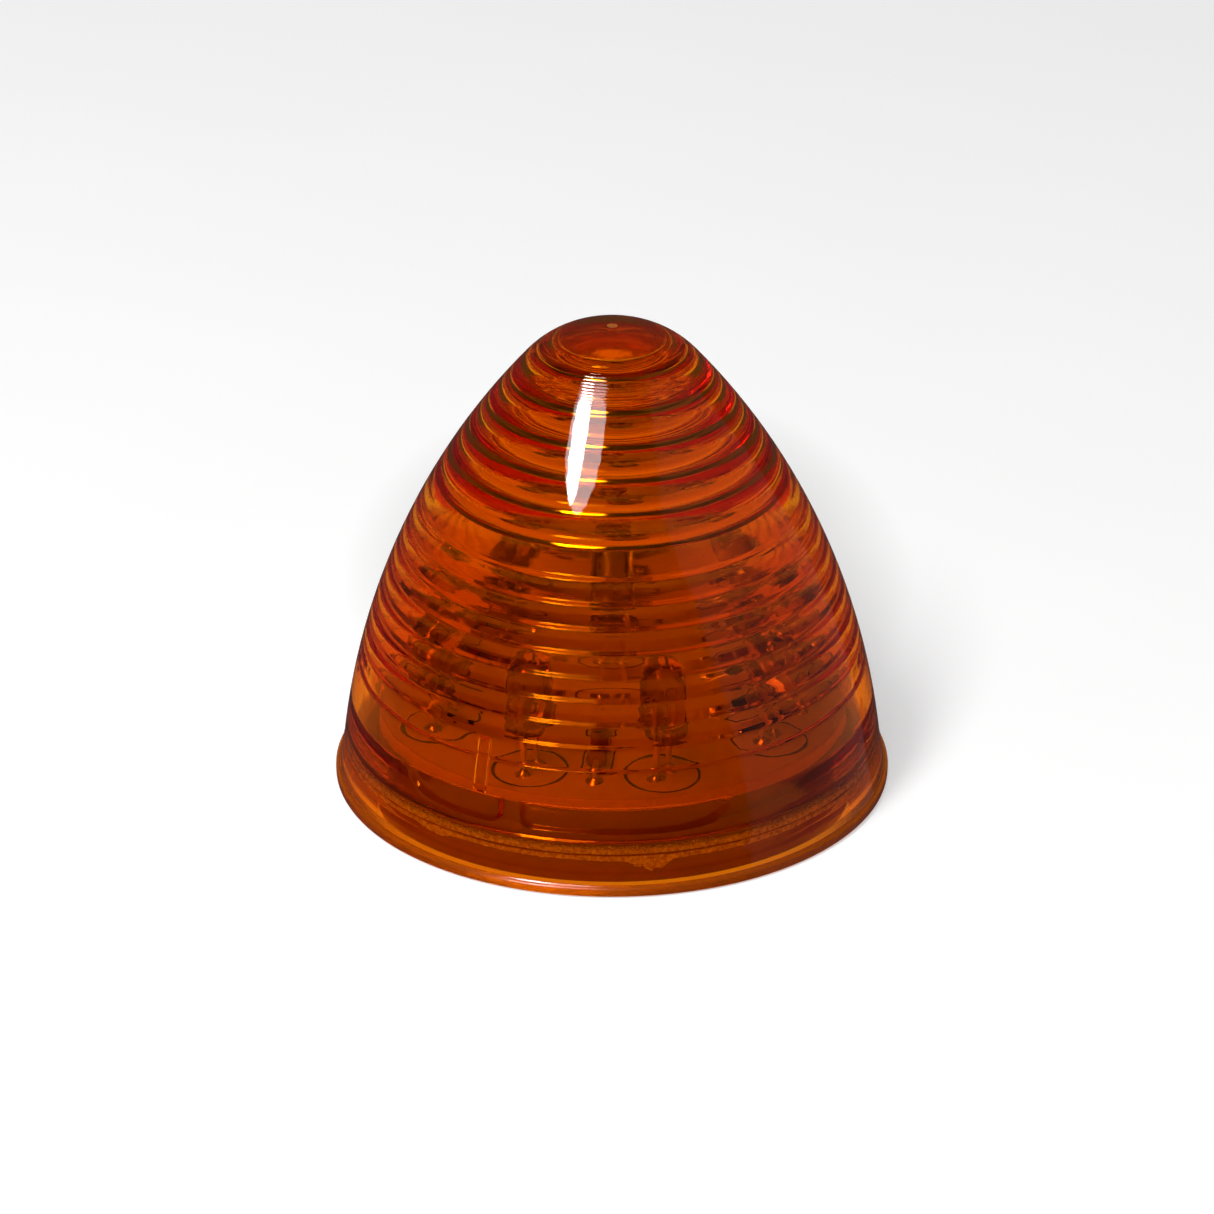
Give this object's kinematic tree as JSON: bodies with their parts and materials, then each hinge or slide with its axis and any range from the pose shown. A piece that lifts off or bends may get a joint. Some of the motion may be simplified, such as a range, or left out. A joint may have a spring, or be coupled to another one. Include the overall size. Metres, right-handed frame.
{
  "type": "beehive marker lamp",
  "caption": "Sealed amber beehive marker lamp: a ribbed cone-shaped lens with a grommet lip, over a board of LEDs in a plug-in housing.",
  "frame": {"origin": "centre of the base lip's underside, on the lens axis", "axes": "+Z along the lens axis towards the apex, -Y towards the front, +X to the right along the terminal pins"},
  "size_m": [0.0635, 0.0634, 0.0547],
  "materials": {
    "amber_lens": "clear moulded amber polycarbonate, polished",
    "seal_adhesive": "cured adhesive, uneven",
    "housing_plastic": "warm grey moulded plastic, fine grain",
    "sealant": "cured black sealant",
    "board": "white solder mask over glass epoxy",
    "solder": "bright solder",
    "tinned_wire": "tinned wire",
    "terminal_brass": "turned brass",
    "led_epoxy": "clear epoxy",
    "resistor_body": "lacquered ceramic",
    "diode_body": "black moulded epoxy"
  },
  "bodies": {
    "root": {"lens": "amber_lens", "seal_bead": "seal_adhesive", "base_housing": "housing_plastic", "pin_sealant": "sealant", "circuit_board": "board", "solder_joints": "solder", "polarity_diode": "diode_body", "polarity_diode_leads": "tinned_wire", "terminal_pin_left": "terminal_brass", "terminal_pin_right": "terminal_brass", "led_1": "led_epoxy", "led_2": "led_epoxy", "led_3": "led_epoxy", "led_4": "led_epoxy", "led_5": "led_epoxy", "led_6": "led_epoxy", "led_7": "led_epoxy", "led_8": "led_epoxy", "led_9": "led_epoxy", "led_10": "led_epoxy", "led_leads_1": "tinned_wire", "led_leads_2": "tinned_wire", "led_leads_3": "tinned_wire", "led_leads_4": "tinned_wire", "led_leads_5": "tinned_wire", "led_leads_6": "tinned_wire", "led_leads_7": "tinned_wire", "led_leads_8": "tinned_wire", "led_leads_9": "tinned_wire", "led_leads_10": "tinned_wire", "resistor_leads_1": "tinned_wire", "resistor_leads_2": "tinned_wire", "resistor_leads_3": "tinned_wire", "resistor_1": "resistor_body", "resistor_2": "resistor_body", "resistor_3": "resistor_body"}
  },
  "joints": []
}
